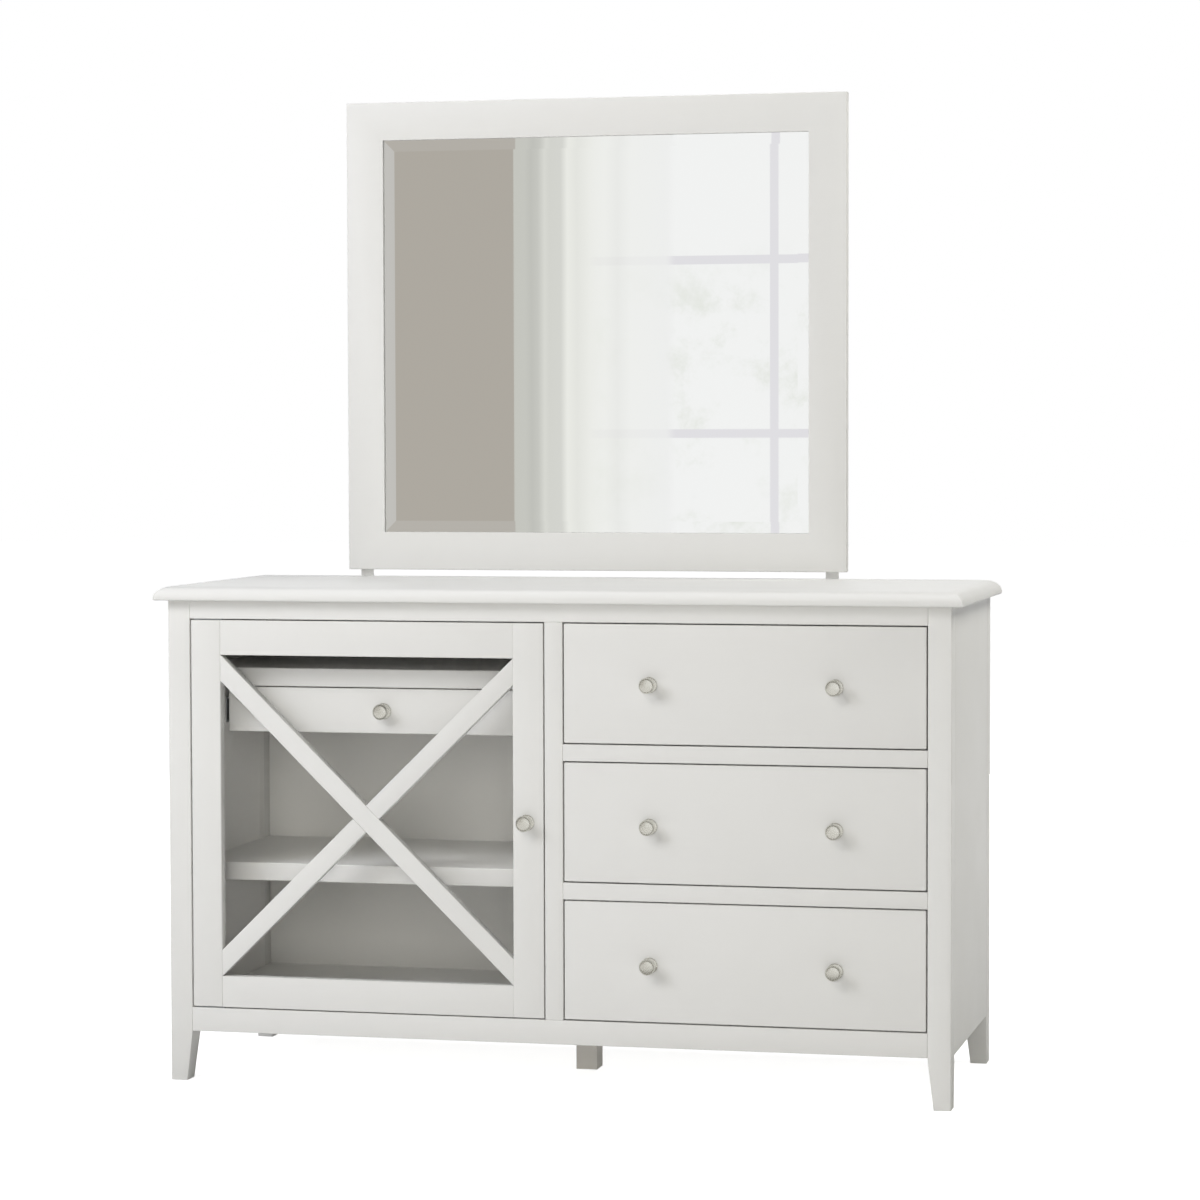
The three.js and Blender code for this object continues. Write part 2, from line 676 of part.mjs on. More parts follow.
function mirrorPlace() {
  const x = (caseWidth - mirrorWidth) / 2 - mirrorShift;
  const y = caseDepth - mirrorBoardThickness;
  const z = caseHeight + topThickness + mirrorGap;
  return { x, y, z };
}

// A block as deep as the frame, kept clear of the frame's outer edges all round
function insetBlock(edge, start) {
  const width = mirrorWidth - 2 * edge;
  const height = mirrorHeight - 2 * edge;
  return block(width, mirrorBoardThickness + overrun, height).translate(edge, start, edge);
}

function addMirrorFrame(parent) {
  const place = mirrorPlace();
  const slab = board(mirrorWidth, mirrorBoardThickness, mirrorHeight, frontEase);
  const opening = insetBlock(mirrorBoardWidth, -overrun);
  const pocket = insetBlock(mirrorBoardWidth - mirror.lapWidth, mirror.lip);
  const frame = cut(slab, opening, opening.clone().translate(0, overrun, 0), pocket);
  add(parent, 'mirror_frame', frame, materials.paintedWood, place.x, place.y, place.z);
}

// The glass plate seen in section, its front face towards -y, bevelled along both edges
function bevelledSection(length) {
  const { glassThickness, bevelWidth, bevelDrop, lapWidth } = mirror;
  const bevel = lapWidth - fit + bevelWidth;
  return [[0, glassThickness], [0, bevelDrop], [bevel, 0], [length - bevel, 0],
    [length, bevelDrop], [length, glassThickness]];
}

function addGlass(parent) {
  const place = mirrorPlace();
  const edge = mirrorBoardWidth - mirror.lapWidth + fit;
  const width = mirrorWidth - 2 * edge;
  const height = mirrorHeight - 2 * edge;
  const acrossSection = shapeOf(bevelledSection(width));
  const upSection = shapeOf(bevelledSection(height).map(([up, back]) => [back, up]));
  const glass = common(drawnAlongZ(acrossSection, height), drawnAlongX(upSection, width));
  const y = place.y + mirror.lip + fit;
  add(parent, 'mirror_glass', glass, materials.mirrorGlass, place.x + edge, y, place.z + edge);
  const back = block(width, mirror.backThickness, height);
  const behind = y + mirror.glassThickness + fit;
  add(parent, 'mirror_back', back, materials.hardboard, place.x + edge, behind, place.z + edge);
}

// Two flat straps behind the case carry the mirror just above the top
function addStraps(parent) {
  const place = mirrorPlace();
  const bottom = caseHeight - strap.below;
  const top = place.z + strap.above;
  const bar = board(strap.width, strap.thickness, top - bottom);
  const left = place.x + (mirrorBoardWidth - mirror.lapWidth - strap.width) / 2;
  const right = 2 * place.x + mirrorWidth - left - strap.width;
  add(parent, 'mirror_strap_left', bar, materials.whiteSteel, left, caseDepth, bottom);
  add(parent, 'mirror_strap_right', bar, materials.whiteSteel, right, caseDepth, bottom);
}

// The whole dresser
function build() {
  const dresser = new THREE.Group();
  const carcass = new THREE.Group();
  const doorLeaf = new THREE.Group();
  dresser.add(carcass, doorLeaf);

  add(carcass, 'top_board', topBoard(), materials.paintedWood, -topOverhang, -topOverhang, caseHeight);
  addLegs(carcass);
  addCentreFoot(carcass);
  addFrontFrame(carcass);
  addSidePanels(carcass);
  addPartition(carcass);
  addCaseBoards(carcass);
  addInnerShelf(carcass);
  addShelf(carcass);
  addCaseSlides(carcass);
  addMirrorFrame(carcass);
  addGlass(carcass);
  addStraps(carcass);

  addDoorFrame(doorLeaf);
  addDoorBars(doorLeaf);
  addHinges(carcass);
  addCatch(carcass);

  for (let row = 0; row < drawerCount; row += 1) {
    const drawer = new THREE.Group();
    addLargeDrawer(drawer, row);
    dresser.add(drawer);
  }
  const inner = new THREE.Group();
  addInnerDrawer(inner);
  dresser.add(inner);

  const frontmost = -knob.projection;
  const rearmost = caseDepth + strap.thickness;
  dresser.position.set(-caseWidth / 2, -(frontmost + rearmost) / 2, 0);
  return dresser;
}

const dresser = build();

export default dresser;
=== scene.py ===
import bpy
import json
import math
from mathutils import Matrix, Vector


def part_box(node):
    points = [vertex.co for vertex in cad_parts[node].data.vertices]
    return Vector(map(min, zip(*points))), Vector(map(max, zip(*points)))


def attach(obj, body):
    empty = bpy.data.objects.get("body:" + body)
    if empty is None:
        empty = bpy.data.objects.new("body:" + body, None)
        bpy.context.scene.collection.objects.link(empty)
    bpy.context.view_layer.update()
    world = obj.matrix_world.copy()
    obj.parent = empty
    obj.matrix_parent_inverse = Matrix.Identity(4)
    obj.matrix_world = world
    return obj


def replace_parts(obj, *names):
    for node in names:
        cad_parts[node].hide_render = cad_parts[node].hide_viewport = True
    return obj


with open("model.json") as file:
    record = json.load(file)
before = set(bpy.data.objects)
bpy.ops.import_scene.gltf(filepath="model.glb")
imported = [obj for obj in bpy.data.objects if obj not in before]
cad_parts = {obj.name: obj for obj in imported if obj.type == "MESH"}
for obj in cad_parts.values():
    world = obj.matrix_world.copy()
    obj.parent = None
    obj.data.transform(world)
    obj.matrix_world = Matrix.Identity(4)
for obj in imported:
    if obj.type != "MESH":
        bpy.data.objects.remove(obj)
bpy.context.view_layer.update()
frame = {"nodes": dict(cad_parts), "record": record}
nodes = frame["nodes"]
bodies = frame["record"]["behaviour"]["bodies"]
bodyOf = {node: body for body, members in bodies.items() for node in members}
print("The packed dresser is loaded")


# Camera, at the place the photograph was taken from

cameraView = {
    "place": (1.5086, -6.2169, 1.1335),  # in metres
    "yaw": 0.2334, "pitch": 0.0457, "roll": -0.0024,  # in radians
    "lens": 108.35, "sensor": 36,  # in millimetres
}


def placeCamera(view):
    forward = Vector((
        -math.sin(view["yaw"]) * math.cos(view["pitch"]),
        math.cos(view["yaw"]) * math.cos(view["pitch"]),
        -math.sin(view["pitch"]),
    ))
    level = Vector((math.cos(view["yaw"]), math.sin(view["yaw"]), 0))
    lift = level.cross(forward)
    right = math.cos(view["roll"]) * level + math.sin(view["roll"]) * lift
    up = -math.sin(view["roll"]) * level + math.cos(view["roll"]) * lift
    turn = Matrix((right, up, -forward)).transposed()
    bpy.ops.object.camera_add(location=view["place"], rotation=turn.to_euler())
    camera = bpy.context.object
    camera.name = "photoCamera"
    camera.data.lens = view["lens"]
    camera.data.sensor_width = view["sensor"]
    bpy.context.scene.camera = camera


placeCamera(cameraView)
print("Camera placed")


# Shared shader effects

def newGroup(name, values, results):
    # Each group takes a place on the piece and some numbers, and gives numbers that vary over it
    group = bpy.data.node_groups.new(name, "ShaderNodeTree")
    group.interface.new_socket(name="Vector", in_out="INPUT", socket_type="NodeSocketVector")
    for label, value in values.items():
        socket = group.interface.new_socket(name=label, in_out="INPUT", socket_type="NodeSocketFloat")
        socket.default_value = value
    for label in results:
        group.interface.new_socket(name=label, in_out="OUTPUT", socket_type="NodeSocketFloat")
    return group, group.nodes.new("NodeGroupInput"), group.nodes.new("NodeGroupOutput")


def setInputs(node, values):
    for label, value in values.items():
        node.inputs[label].default_value = value


def feed(tree, socket, value):
    # A socket takes a plain number, or what another node gives
    if isinstance(value, (int, float)):
        socket.default_value = value
    else:
        tree.links.new(value, socket)


def addMath(tree, operation, first, second):
    node = tree.nodes.new("ShaderNodeMath")
    node.operation = operation
    feed(tree, node.inputs[0], first)
    feed(tree, node.inputs[1], second)
    return node.outputs[0]


def addNoise(tree, vector, scale, detail, roughness):
    node = tree.nodes.new("ShaderNodeTexNoise")
    tree.links.new(vector, node.inputs["Vector"])
    feed(tree, node.inputs["Scale"], scale)
    setInputs(node, {"Detail": detail, "Roughness": roughness})
    return node.outputs["Fac"]


fibreLook = {
    "scale": 6.0, "contrast": 0.5, "detail": 6.0, "roughness": 0.62,
    "bandShare": 0.22, "bandDetail": 2.0, "bandRoughness": 0.5,
}


def makeGrainGroup(look):
    # Wood fibres that run along the stretched direction, and show a little through paint
    values = {"Fibre Scale": look["scale"], "Contrast": look["contrast"]}
    group, inlet, outlet = newGroup("woodFibres", values, ("Fibres", "Bands"))
    vector, scale = inlet.outputs["Vector"], inlet.outputs["Fibre Scale"]
    fibres = addNoise(group, vector, scale, look["detail"], look["roughness"])
    bandScale = addMath(group, "MULTIPLY", scale, look["bandShare"])
    bands = addNoise(group, vector, bandScale, look["bandDetail"], look["bandRoughness"])
    centred = addMath(group, "SUBTRACT", fibres, 0.5)
    scaled = addMath(group, "MULTIPLY", centred, inlet.outputs["Contrast"])
    group.links.new(addMath(group, "ADD", scaled, 0.5), outlet.inputs["Fibres"])
    group.links.new(bands, outlet.inputs["Bands"])
    return group


filmLook = {
    "peelScale": 420.0, "peelDetail": 2.0, "peelRoughness": 0.5,
    "swellScale": 9.0, "swellDetail": 3.0, "swellRoughness": 0.55,
}


def makeFilmGroup(look):
    # The faint unevenness of a sprayed film: broad swells and fine orange peel
    scales = {"Peel Scale": look["peelScale"], "Swell Scale": look["swellScale"]}
    group, inlet, outlet = newGroup("sprayedFilm", scales, ("Peel", "Swell"))
    for part in ("peel", "swell"):
        label = part.capitalize()
        noise = addNoise(group, inlet.outputs["Vector"], inlet.outputs[label + " Scale"],
                         look[part + "Detail"], look[part + "Roughness"])
        group.links.new(noise, outlet.inputs[label])
    return group


grainGroup = makeGrainGroup(fibreLook)
filmGroup = makeFilmGroup(filmLook)


def newMaterial(name):
    material = bpy.data.materials.new(name)
    material.use_nodes = True
    tree = material.node_tree
    shader = tree.nodes["Principled BSDF"]
    coordinates = tree.nodes.new("ShaderNodeTexCoord").outputs["Object"]
    return material, tree, shader, coordinates


def addGroup(tree, group, vector, values):
    node = tree.nodes.new("ShaderNodeGroup")
    node.node_tree = group
    tree.links.new(vector, node.inputs["Vector"])
    setInputs(node, values)
    return node


def stretch(tree, vector, scale):
    node = tree.nodes.new("ShaderNodeMapping")
    tree.links.new(vector, node.inputs["Vector"])
    node.inputs["Scale"].default_value = scale
    return node.outputs["Vector"]


def addGrain(tree, coordinates, along, look):
    scale = tuple(1.0 if axis == along else look["stretch"] for axis in "xyz")
    return addGroup(tree, grainGroup, stretch(tree, coordinates, scale),
                    {"Fibre Scale": look["fibreScale"], "Contrast": look["fibreContrast"]})


def addFilm(tree, coordinates, look):
    return addGroup(tree, filmGroup, coordinates,
                    {"Peel Scale": look["peelScale"], "Swell Scale": look["swellScale"]})


def mixColours(tree, factor, first, second):
    node = tree.nodes.new("ShaderNodeMix")
    node.data_type = "RGBA"
    tree.links.new(factor, node.inputs["Factor"])
    setInputs(node, {"A": (*first, 1), "B": (*second, 1)})
    return node.outputs["Result"]


def remap(tree, value, limits, interpolation="LINEAR"):
    node = tree.nodes.new("ShaderNodeMapRange")
    node.interpolation_type = interpolation
    tree.links.new(value, node.inputs["Value"])
    setInputs(node, limits)
    return node.outputs["Result"]


noiseSpan = {"From Min": 0.3, "From Max": 0.7}  # nearly all of a noise lies between these


def varySurface(tree, shader, tone, gloss, look):
    # Colour follows tone and roughness follows gloss, each between two values
    tree.links.new(mixColours(tree, tone, look["dark"], look["light"]), shader.inputs["Base Color"])
    limits = {**noiseSpan, "To Min": look["roughLow"], "To Max": look["roughHigh"]}
    tree.links.new(remap(tree, gloss, limits), shader.inputs["Roughness"])


def addBump(tree, shader, height, look):
    node = tree.nodes.new("ShaderNodeBump")
    setInputs(node, {"Distance": look["relief"], "Strength": look["strength"]})
    tree.links.new(height, node.inputs["Height"])
    tree.links.new(node.outputs["Normal"], shader.inputs["Normal"])


# Materials

paintLook = {
    "light": (0.755, 0.752, 0.732), "dark": (0.732, 0.729, 0.708), "roughLow": 0.40, "roughHigh": 0.50,
    "stretch": 22.0,  # how much finer the fibres are across than along
    "fibreScale": 6.0, "fibreContrast": 0.8, "peelScale": 420.0, "swellScale": 9.0, "peelShare": 0.5,
    "relief": 0.00006, "strength": 0.35,  # the relief is in metres
}


def makePaint(name, along, look):
    material, tree, shader, coordinates = newMaterial(name)
    fibres = addGrain(tree, coordinates, along, look).outputs["Fibres"]
    film = addFilm(tree, coordinates, look)
    swell = film.outputs["Swell"]
    tone = addMath(tree, "MULTIPLY", addMath(tree, "ADD", swell, fibres), 0.5)
    varySurface(tree, shader, tone, swell, look)
    peel = addMath(tree, "MULTIPLY", film.outputs["Peel"], look["peelShare"])
    addBump(tree, shader, addMath(tree, "ADD", fibres, peel), look)
    return material


woodLook = {
    "light": (0.74, 0.66, 0.53), "dark": (0.62, 0.53, 0.40), "roughLow": 0.45, "roughHigh": 0.6,
    "stretch": 18.0, "fibreScale": 9.0, "fibreContrast": 1.6, "relief": 0.0001, "strength": 0.4,
}


def makeWood(name, along, look):
    material, tree, shader, coordinates = newMaterial(name)
    grain = addGrain(tree, coordinates, along, look)
    varySurface(tree, shader, grain.outputs["Fibres"], grain.outputs["Bands"], look)
    addBump(tree, shader, grain.outputs["Fibres"], look)
    return material


metalLooks = {
    "satinNickel": {
        "light": (0.76, 0.75, 0.695), "dark": (0.71, 0.70, 0.645), "roughLow": 0.22, "roughHigh": 0.30,
        "peelScale": 900.0, "swellScale": 60.0, "relief": 0.000004, "strength": 0.4},
    "zincSteel": {
        "light": (0.60, 0.62, 0.64), "dark": (0.48, 0.50, 0.52), "roughLow": 0.34, "roughHigh": 0.48,
        "peelScale": 500.0, "swellScale": 60.0, "relief": 0.00004, "strength": 0.4},
}


def makeMetal(name, look):
    material, tree, shader, coordinates = newMaterial(name)
    film = addFilm(tree, coordinates, look)
    varySurface(tree, shader, film.outputs["Swell"], film.outputs["Peel"], look)
    shader.inputs["Metallic"].default_value = 1.0
    addBump(tree, shader, film.outputs["Peel"], look)
    return material


mirrorLook = {
    "light": (0.902, 0.910, 0.903), "dark": (0.888, 0.896, 0.890), "roughLow": 0.0, "roughHigh": 0.012,
    "peelScale": 60.0, "swellScale": 3.0,
}


def makeSilvering(look):
    material, tree, shader, coordinates = newMaterial("silveredGlass")
    swell = addFilm(tree, coordinates, look).outputs["Swell"]
    varySurface(tree, shader, swell, swell, look)
    shader.inputs["Metallic"].default_value = 1.0
    return material


# Inner faces: a lighter copy of the white paint, painted light standing in for the light inside the case
insidePaintedLightLook = dict(
    paintLook, light=(0.945, 0.94, 0.92), dark=(0.925, 0.92, 0.90), roughLow=0.46, roughHigh=0.56)
# Hardboard, painted white like the case: its colour is lighter than the outer white paint, painted light for
# the light inside the case
boardLook = dict(
    insidePaintedLightLook, light=(0.915, 0.91, 0.885), dark=(0.895, 0.89, 0.865), roughLow=0.5, roughHigh=0.62,
    fibreContrast=0.0)
# Shelf tops and the bottom board: a lighter copy of the white paint, painted light for the light falling on
# them
shelfPaintedLightLook = dict(
    insidePaintedLightLook, light=(0.955, 0.95, 0.93), dark=(0.935, 0.93, 0.91), roughLow=0.30, roughHigh=0.38)
plasticLook = dict(paintLook, light=(0.72, 0.72, 0.71), dark=(0.69, 0.69, 0.68), fibreContrast=0.0)
# Straps: a lighter copy of the white paint, painted light so that they do not look shaded in the gap under
# the mirror
strapPaintedLightLook = dict(
    paintLook, light=(0.93, 0.93, 0.92), dark=(0.91, 0.91, 0.90), roughLow=0.38, roughHigh=0.46,
    fibreContrast=0.0)
# The middle foot: a lighter copy of the white paint, painted light for the light reaching it under the case
footPaintedLightLook = dict(paintLook, light=(0.93, 0.90, 0.85), dark=(0.91, 0.88, 0.83))

finish = {
    "paintX": makePaint("whitePaintAcross", "x", paintLook),
    "paintZ": makePaint("whitePaintUpright", "z", paintLook),
    # Inner faces: lighter copies of the white paint, painted light for the light inside the case
    "insideX": makePaint("innerPaintAcross", "x", insidePaintedLightLook),
    "insideZ": makePaint("innerPaintUpright", "z", insidePaintedLightLook),
    # Shelf tops and the bottom board: a lighter copy, painted light for the light falling on them
    "shelfPaint": makePaint("shelfPaintAcross", "x", shelfPaintedLightLook),
    # The middle foot: a lighter copy, painted light for the light reaching it under the case
    "footPaint": makePaint("middleFootPaint", "z", footPaintedLightLook),
    # Hardboard: its own white-painted colour, made lighter still as painted light
    "hardboard": makePaint("paleHardboard", "z", boardLook),
    "moulding": makePaint("whiteMoulding", "z", plasticLook),
    # Straps: a lighter copy, painted light so that they do not show shaded under the mirror
    "strapPaint": makePaint("whiteStrapPaint", "z", strapPaintedLightLook),
    "drawerWoodY": makeWood("drawerWoodDeep", "y", woodLook),
    "nickel": makeMetal("satinNickel", metalLooks["satinNickel"]),
    "zinc": makeMetal("zincSteel", metalLooks["zincSteel"]),
    "mirror": makeSilvering(mirrorLook),
}
print("Materials made")


# Modelling helpers

closeBy = 0.00001  # in metres: places nearer to each other than this count as one
edgeLook = {"bevelAngle": 30, "smoothAngle": 40, "flatAngle": 1, "boardSteps": 3, "tracedSteps": 2}


def deselectAll():
    bpy.ops.object.select_all(action="DESELECT")


def makeActive(piece):
    deselectAll()
    piece.select_set(True)
    bpy.context.view_layer.objects.active = piece


def applyPlace(piece):
    makeActive(piece)
    bpy.ops.object.transform_apply(location=True, rotation=True, scale=True)


def bevelPiece(piece, width, segments):
    bevel = piece.modifiers.new("softEdges", "BEVEL")
    bevel.width = width
    bevel.segments = segments
    bevel.limit_method = "ANGLE"
    bevel.angle_limit = math.radians(edgeLook["bevelAngle"])
    bevel.harden_normals = False
    makeActive(piece)
    bpy.ops.object.modifier_apply(modifier=bevel.name)


def smoothPiece(piece, angle=edgeLook["smoothAngle"]):
    makeActive(piece)
    bpy.ops.object.shade_smooth_by_angle(angle=math.radians(angle))


def pieceName(node, ending):
    words = node.split("_")
    return words[0] + "".join(word.capitalize() for word in words[1:]) + ending


def fixPiece(piece, name, body, material):
    piece.name = name
    piece.data.name = name
    piece.data.materials.clear()
    piece.data.materials.append(finish[material])
    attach(piece, body)
    return piece


def finishPiece(piece, name, node, material):
    return fixPiece(piece, name, bodyOf[node], material)


def addBlock(low, high):
    # A plain block between two corners, from which a piece starts
    deselectAll()
    bpy.ops.mesh.primitive_cube_add(size=1, location=(low + high) / 2, scale=high - low)
    block = bpy.context.object
    applyPlace(block)
    return block


def cutBoard(low, high, softness):
    # A board between two corners with its arrises rounded over
    board = addBlock(low, high)
    bevelPiece(board, softness, edgeLook["boardSteps"])
    smoothPiece(board)
    return board


def startSelecting(piece, kind):
    # Clears the selection of faces or edges, and leaves edit mode so that some can be chosen in code
    makeActive(piece)
    bpy.ops.object.mode_set(mode="EDIT")
    bpy.ops.mesh.select_mode(type=kind)
    bpy.ops.mesh.select_all(action="DESELECT")
    bpy.ops.object.mode_set(mode="OBJECT")


def selectFaces(piece, chosen):
    startSelecting(piece, "FACE")
    for face in piece.data.polygons:
        face.select = chosen(face)
    bpy.ops.object.mode_set(mode="EDIT")


def selectEdges(piece, chosen):
    startSelecting(piece, "EDGE")
    for edge in piece.data.edges:
        first, second = (piece.data.vertices[index].co for index in edge.vertices)
        edge.select = chosen(first, second)
    bpy.ops.object.mode_set(mode="EDIT")


def tracedPiece(node, softness):
    # A joiner's copy of a shaped node, with its facets merged and its arrises softened
    source = nodes[node]
    piece = bpy.data.objects.new(node + "Copy", source.data.copy())
    bpy.context.scene.collection.objects.link(piece)
    makeActive(piece)
    bpy.ops.object.mode_set(mode="EDIT")
    bpy.ops.mesh.select_all(action="SELECT")
    bpy.ops.mesh.remove_doubles(threshold=closeBy)
    bpy.ops.mesh.dissolve_limited(angle_limit=math.radians(edgeLook["flatAngle"]))
    bpy.ops.object.mode_set(mode="OBJECT")
    if softness:
        bevelPiece(piece, softness, edgeLook["tracedSteps"])
    smoothPiece(piece)
    return piece


def refinishFaces(piece, material, chosen):
    # Gives a second finish to the faces whose middles are chosen
    piece.data.materials.append(finish[material])
    index = len(piece.data.materials) - 1
    for face in piece.data.polygons:
        if chosen(face.center):
            face.material_index = index


# The top: its front and side edges are moulded to a quarter ellipse and mitred at the corners

topLook = {
    "roundWidth": 0.030, "roundHeight": 0.0205, "roundSteps": 14,
    "underRound": 0.0035, "underSteps": 4, "smoothAngle": 35,
}


def roundTopEdges(top, height, back, width, steps):
    # Rounds the edges at this height, apart from the one along the back
    def chosen(first, second):
        level = abs(first.z - height) < closeBy and abs(second.z - height) < closeBy
        behind = first.y > back - closeBy and second.y > back - closeBy
        return level and not behind

    selectEdges(top, chosen)
    bpy.ops.mesh.bevel(offset=width, segments=steps, profile=0.5, affect="EDGES")
    bpy.ops.object.mode_set(mode="OBJECT")


def makeTop(look):
    low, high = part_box("top_board")
    size = high - low
    tall = look["roundWidth"] / look["roundHeight"]  # stretched, so that a round bevel becomes the ellipse
    deselectAll()
    bpy.ops.mesh.primitive_cube_add(
        size=1, location=(0, 0, size.z * tall / 2), scale=(size.x, size.y, size.z * tall))
    top = bpy.context.object
    applyPlace(top)
    roundTopEdges(top, size.z * tall, size.y / 2, look["roundWidth"], look["roundSteps"])
    top.scale.z = 1 / tall
    applyPlace(top)
    roundTopEdges(top, 0.0, size.y / 2, look["underRound"], look["underSteps"])
    top.location = ((low.x + high.x) / 2, (low.y + high.y) / 2, low.z)
    applyPlace(top)
    smoothPiece(top, look["smoothAngle"])
    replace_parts(finishPiece(top, "mouldedTop", "top_board", "paintX"), "top_board")


makeTop(topLook)
print("Top made")


# Plain boards of the case, the door and the drawers

boardLooks = {
    "frame": {"softness": 0.0012, "nodes": {
        "top_rail": "paintX", "bottom_rail": "paintX", "centre_stile": "paintZ",
        "drawer_rail_1": "paintX", "drawer_rail_2": "paintX"}},
    "case": {"softness": 0.0006, "nodes": {
        "centre_foot": "footPaint", "bottom_board": "shelfPaint", "back_panel": "hardboard",
        "back_rail": "insideX", "mirror_strap_left": "strapPaint", "mirror_strap_right": "strapPaint",
        "door_catch": "moulding"}},
    "door": {"softness": 0.0007, "nodes": {
        "door_stile_right": "paintZ", "door_rail_bottom": "paintX", "door_rail_top": "paintX"}},
    "fronts": {"softness": 0.0020, "nodes": {
        "drawer_1_front": "paintX", "drawer_2_front": "paintX", "drawer_3_front": "paintX",
        "inner_drawer_front": "paintX"}},
}
for group, look in boardLooks.items():
    for node, material in look["nodes"].items():
        name = pieceName(node, "Board")
        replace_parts(finishPiece(cutBoard(*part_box(node), look["softness"]), name, node, material), node)
    print("Boards made:", group)


# Shaped pieces: legs, panels, shelves, crossed bars, mirror frame, drawer boxes, slides and hinges

shapedLooks = {  # how far the arrises are softened, in metres, and the finish
    "leg_front_left": (0.0008, "paintZ"), "leg_front_right": (0.0008, "paintZ"),
    "leg_back_left": (0.0008, "paintZ"), "leg_back_right": (0.0008, "paintZ"),
    "side_panel_left": (0.0004, "paintZ"), "side_panel_right": (0.0004, "paintZ"),
    "centre_partition": (0.0003, "insideZ"), "fixed_shelf": (0.0006, "insideX"),
    "adjustable_shelf": (0.0006, "insideX"), "drawer_hanger": (0.0003, "insideZ"),
    "door_stile_left": (0.0004, "paintZ"), "door_bar_through": (0.0007, "paintZ"),
    "door_bar_lapped": (0.0007, "paintZ"), "mirror_frame": (0.0006, "paintX"),
    "mirror_back": (0.0003, "hardboard"),
    "drawer_1_box": (0.0003, "drawerWoodY"), "drawer_2_box": (0.0003, "drawerWoodY"),
    "drawer_3_box": (0.0003, "drawerWoodY"), "inner_drawer_box": (0.0003, "drawerWoodY"),
    "drawer_1_bottom": (0.0003, "hardboard"), "drawer_2_bottom": (0.0003, "hardboard"),
    "drawer_3_bottom": (0.0003, "hardboard"), "inner_drawer_bottom": (0.0003, "hardboard"),
    "slide_1_left": (0, "zinc"), "slide_1_right": (0, "zinc"), "slide_2_left": (0, "zinc"),
    "slide_2_right": (0, "zinc"), "slide_3_left": (0, "zinc"), "slide_3_right": (0, "zinc"),
    "hinge_lower": (0, "zinc"), "hinge_upper": (0, "zinc"),
}
shaped = {}
for node, (softness, material) in shapedLooks.items():
    shaped[node] = finishPiece(tracedPiece(node, softness), pieceName(node, "Piece"), node, material)
    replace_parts(shaped[node], node)
print("Shaped pieces made")


# Second finishes: panels are painted lighter inside, as painted light for the light inside the case; shelf
# fronts take the outer paint and shelf tops a lighter paint, painted light too; and slides are steel where
# they are fixed to wooden pieces

secondLook = {
    "panelSkin": 0.002, "shelfEdge": 0.0005, "shelfTop": 0.0003,  # how deep an outer face's finish reaches
    "boxSlide": 0.0105,  # how far the drawer's half of a slide stands out from its side
    "partitionBoard": 0.032, "hangerBoard": 0.018,  # where the board ends and its slide starts
}


def refinishPieces(look):
    leftFace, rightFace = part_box("side_panel_left")[0].x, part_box("side_panel_right")[1].x
    # The side panels' inner faces take the lighter inside paint: painted light for the light inside the case
    refinishFaces(shaped["side_panel_left"], "insideZ", lambda spot: spot.x > leftFace + look["panelSkin"])
    refinishFaces(shaped["side_panel_right"], "insideZ", lambda spot: spot.x < rightFace - look["panelSkin"])
    for node in ("drawer_1_box", "drawer_2_box", "drawer_3_box", "inner_drawer_box"):
        low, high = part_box(node)
        left, right = low.x + look["boxSlide"] - closeBy, high.x - look["boxSlide"] + closeBy
        refinishFaces(shaped[node], "zinc", lambda spot: spot.x < left or spot.x > right)
    for node in ("fixed_shelf", "adjustable_shelf"):
        low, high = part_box(node)
        refinishFaces(shaped[node], "paintX", lambda spot: spot.y < low.y + look["shelfEdge"])
        # Shelf tops take the lighter shelf paint: painted light for the light falling on them
        refinishFaces(shaped[node], "shelfPaint", lambda spot: spot.z > high.z - look["shelfTop"])
    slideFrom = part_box("centre_partition")[1].x - look["partitionBoard"] - closeBy
    refinishFaces(shaped["centre_partition"], "zinc", lambda spot: spot.x < slideFrom)
    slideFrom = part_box("drawer_hanger")[0].x + look["hangerBoard"] + closeBy
    refinishFaces(shaped["drawer_hanger"], "zinc", lambda spot: spot.x > slideFrom)


refinishPieces(secondLook)
print("Second finishes given")


# Mirror glass: a plate whose front falls away to a thinner edge all round

glassLook = {"bevelWidth": 0.0307, "bevelDrop": 0.0006}  # 9.7 mm of the bevel lies behind the frame


def makeGlass(look):
    low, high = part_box("mirror_glass")
    low.y += look["bevelDrop"]
    glass = addBlock(low, high)
    selectFaces(glass, lambda face: face.normal.y < -0.9)  # the face at the front
    bpy.ops.mesh.inset(thickness=look["bevelWidth"], depth=look["bevelDrop"])
    bpy.ops.object.mode_set(mode="OBJECT")
    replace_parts(finishPiece(glass, "bevelledGlass", "mirror_glass", "mirror"), "mirror_glass")


makeGlass(glassLook)
print("Mirror glass made")


# What is turned once and copied: knobs and screws

def turnRings(look):
    # Rises ring by ring from a flat disc
    lastRadius, lastHeight = look["rings"][0]
    deselectAll()
    bpy.ops.mesh.primitive_circle_add(
        vertices=look["sides"], radius=lastRadius, fill_type="NGON", location=(0, 0, 0))
    turned = bpy.context.object
    selectFaces(turned, lambda face: True)
    for radius, height in look["rings"][1:]:
        bpy.ops.mesh.extrude_region_move(TRANSFORM_OT_translate={"value": (0, 0, height - lastHeight)})
        share = radius / lastRadius
        bpy.ops.transform.resize(value=(share, share, share))
        lastRadius, lastHeight = radius, height
    bpy.ops.mesh.select_all(action="SELECT")
    bpy.ops.mesh.normals_make_consistent(inside=False)
    bpy.ops.object.mode_set(mode="OBJECT")
    return turned


def copyTo(pattern, place):
    piece = pattern.copy()
    piece.data = pattern.data.copy()
    bpy.context.scene.collection.objects.link(piece)
    piece.location = place
    applyPlace(piece)
    return piece


def dropPattern(pattern):
    mesh = pattern.data
    bpy.data.objects.remove(pattern)
    bpy.data.meshes.remove(mesh)


# Round knobs: a rosette, a waisted neck and a head with a rounded rim and a nearly flat face

